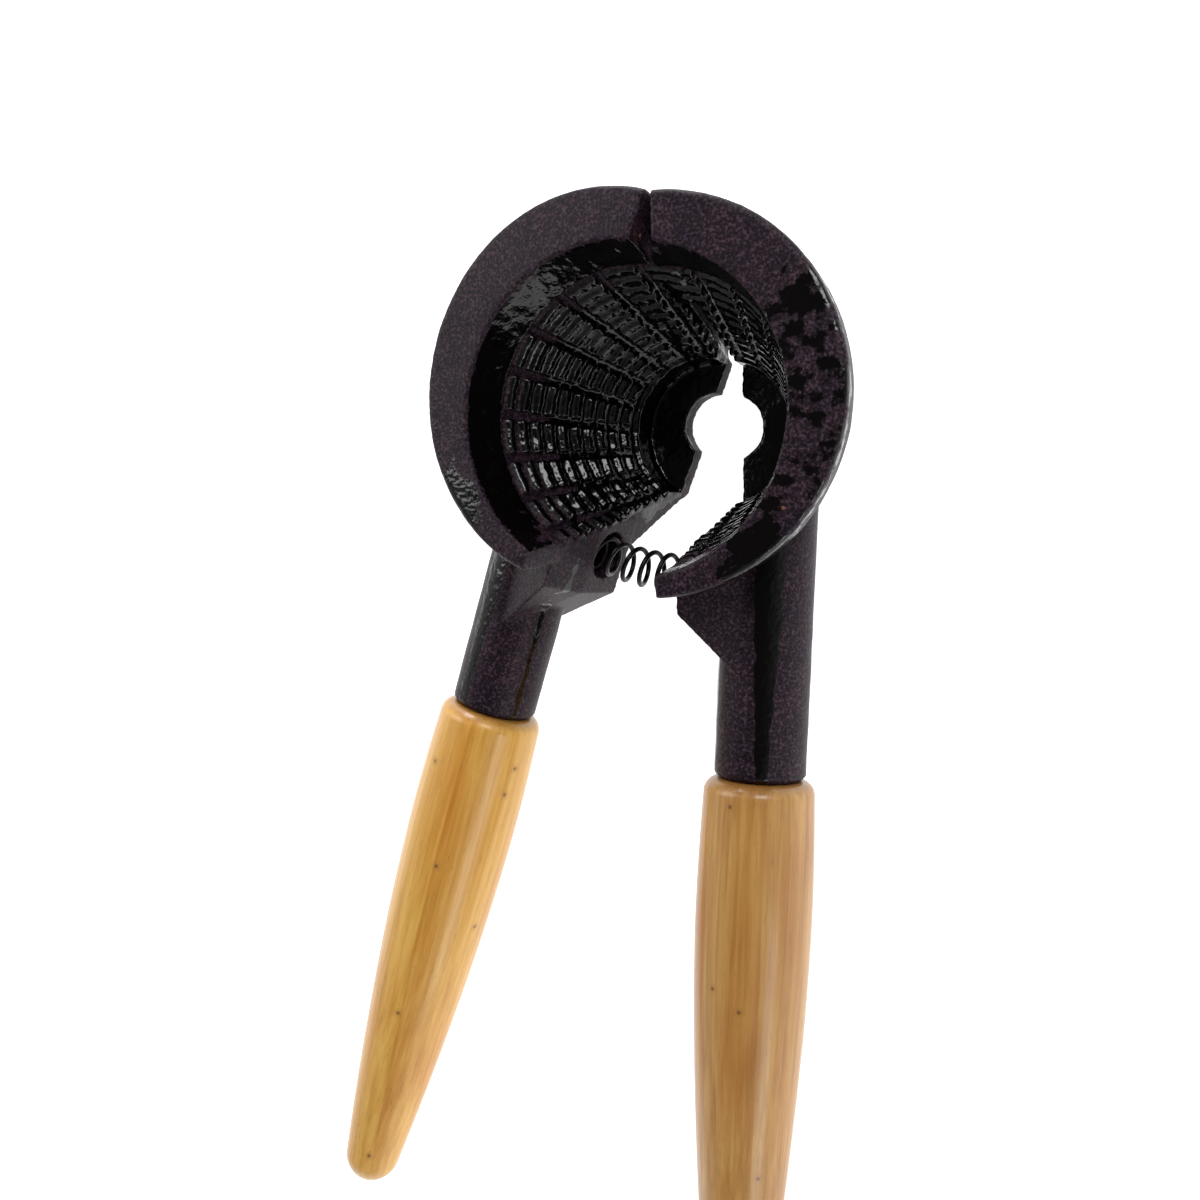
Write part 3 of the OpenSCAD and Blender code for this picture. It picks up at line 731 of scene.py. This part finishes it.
for side, places in KNOTS.items():
    for knot in places:
        middle = tuple(np.array(knot) * MM + WOOD_APART * side)
        away = add(tree, "ShaderNodeVectorMath", {0: in_wood, 1: middle}, operation="DISTANCE")
        nearest = add(tree, "ShaderNodeMath", {0: away.outputs["Value"], 1: nearest},
                      operation="MINIMUM").outputs[0]
halo = add(tree, "ShaderNodeMapRange", {"Value": nearest, "From Min": KNOT_HALO * MM,
                                        "From Max": KNOT_EYE * MM, "To Min": 0.0, "To Max": 0.35})
colour = add(tree, "ShaderNodeMix", {"Factor": halo.outputs["Result"],
                                     "A": colour.outputs["Result"], "B": linear("#a06a30")},
             data_type="RGBA")
eye = add(tree, "ShaderNodeMapRange", {"Value": nearest, "From Min": 1.2 * KNOT_EYE * MM,
                                       "From Max": 0.6 * KNOT_EYE * MM, "To Min": 0.0, "To Max": 0.65})
colour = add(tree, "ShaderNodeMix", {"Factor": eye.outputs["Result"],
                                     "A": colour.outputs["Result"], "B": linear("#4a2c12")},
             data_type="RGBA")
from_shoulder = add(tree, "ShaderNodeAttribute", attribute_name="from_shoulder").outputs["Fac"]
# painted shade: the wood is darkened at the shoulder, round the stub, where the parts meet
shoulder_shade = add(tree, "ShaderNodeMapRange", {"Value": from_shoulder, "From Min": 1.6,
                                             "From Max": 0.1, "To Min": 0.0, "To Max": 0.65})
colour = add(tree, "ShaderNodeMix", {"Factor": shoulder_shade.outputs["Result"],
                                     "A": colour.outputs["Result"], "B": linear("#7c4f20")},
             data_type="RGBA")
gloss = add(tree, "ShaderNodeMapRange", {"Value": streaks.outputs["Fac"], "To Min": 0.36,
                                         "To Max": 0.52})
bump = add(tree, "ShaderNodeBump", {"Height": streaks.outputs["Fac"], "Distance": 0.08 * MM,
                                    "Strength": 0.3})
for socket, source in (("Base Color", colour.outputs["Result"]),
                       ("Roughness", gloss.outputs["Result"]), ("Normal", bump.outputs["Normal"])):
    tree.links.new(source, surface.inputs[socket])
for socket, value in (("IOR", 1.5), ("Coat Weight", 0.4), ("Coat Roughness", 0.14),
                      ("Coat IOR", 1.5)):
    surface.inputs[socket].default_value = value
give(right_grip, wood)
give(left_grip, wood)
print("wood material ready")

# %% [markdown]
# ## Hinge pin and studs
# The pin is a steel rivet, dipped in the same black paint after it was driven in, and scuffed to
# bare steel on its head. The studs are turned from bright steel bar and hide inside stub and
# wood. Both keep their CAD shape, because a lathe leaves just such plain round forms.

# %% Steel
TOOL_MARK, SCUFF = 0.12, 1.5               # mm; tool marks drawn as fine as the render can show


def turned_steel(name, dark, bright, low, high):
    """Bare or blackened steel with scuffs and fine tool marks."""
    material, tree, surface = new_material(name)
    place = add(tree, "ShaderNodeTexCoord").outputs["Object"]
    scuffs = add(tree, "ShaderNodeTexNoise", {"Vector": place, "Scale": per_mm(SCUFF),
                                              "Detail": 5.0, "Roughness": 0.7})
    marks = add(tree, "ShaderNodeTexNoise", {"Vector": place, "Scale": per_mm(TOOL_MARK)})
    colour = add(tree, "ShaderNodeValToRGB", {"Fac": scuffs.outputs["Fac"]},
                 ramp=[(0.35, dark), (0.62, bright)])
    gloss = add(tree, "ShaderNodeMapRange", {"Value": scuffs.outputs["Fac"], "To Min": low,
                                             "To Max": high})
    bump = add(tree, "ShaderNodeBump", {"Height": marks.outputs["Fac"], "Distance": 0.01 * MM,
                                        "Strength": 0.5})
    for socket, source in (("Base Color", colour.outputs["Color"]),
                           ("Roughness", gloss.outputs["Result"]),
                           ("Normal", bump.outputs["Normal"])):
        tree.links.new(source, surface.inputs[socket])
    surface.inputs["Metallic"].default_value = 1.0
    return material


pin_steel = turned_steel("blackened_steel_pin", "#151315", "#4b484a", 0.3, 0.5)
stud_steel = turned_steel("bright_turned_steel", "#8f8f8b", "#c2c1bc", 0.25, 0.4)
give(nodes["hinge_pin"], pin_steel)
for stud in ("left_handle_stud", "right_handle_stud"):
    give(nodes[stud], stud_steel)
print("steel materials ready")
